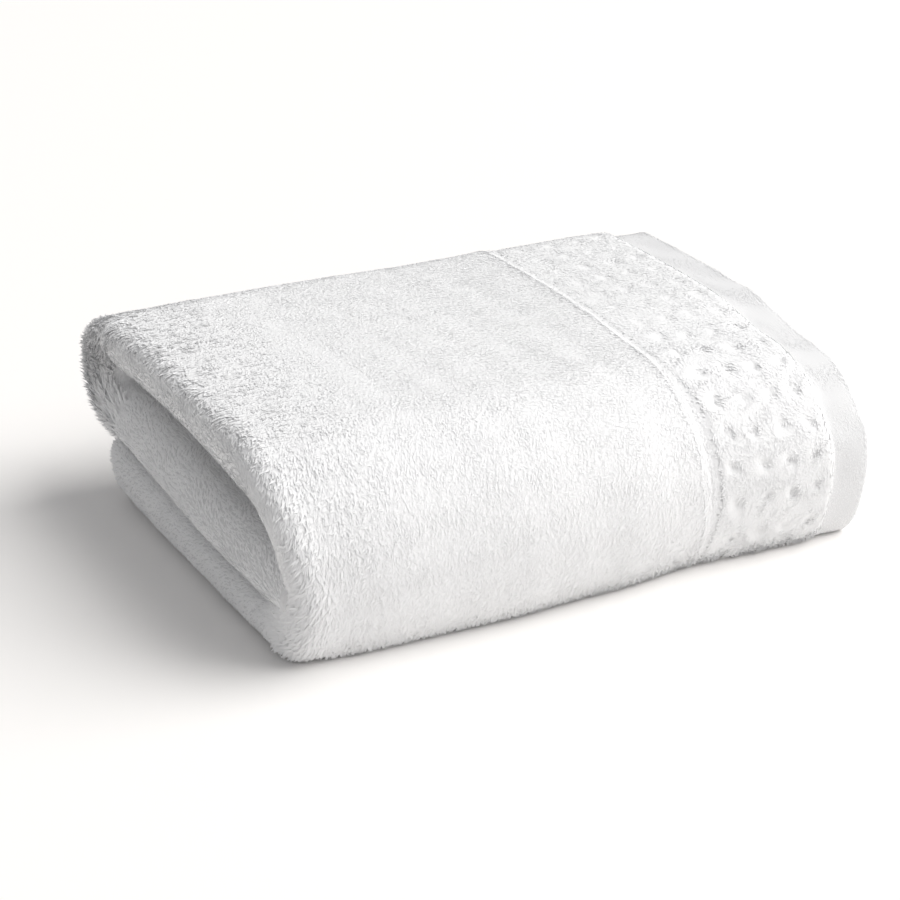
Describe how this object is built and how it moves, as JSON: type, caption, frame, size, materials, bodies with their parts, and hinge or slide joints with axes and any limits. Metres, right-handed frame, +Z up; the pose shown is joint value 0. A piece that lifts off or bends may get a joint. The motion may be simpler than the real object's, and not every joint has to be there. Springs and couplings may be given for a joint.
{
  "type": "hand towel",
  "caption": "Plush terry hand towel folded into a neat bundle, with a dimpled border and flat hems at one end.",
  "frame": {"origin": "under the middle of the folded towel, on the surface that it rests on", "axes": "+X towards the hemmed end and away from the open folded end, +Y towards the back fold, +Z up"},
  "size_m": [0.2182, 0.1692, 0.0674],
  "materials": {
    "terry": "white cotton terry pile with a dimpled border and flat-woven hems, matt"
  },
  "bodies": {
    "root": {"towel": "terry"}
  },
  "joints": []
}
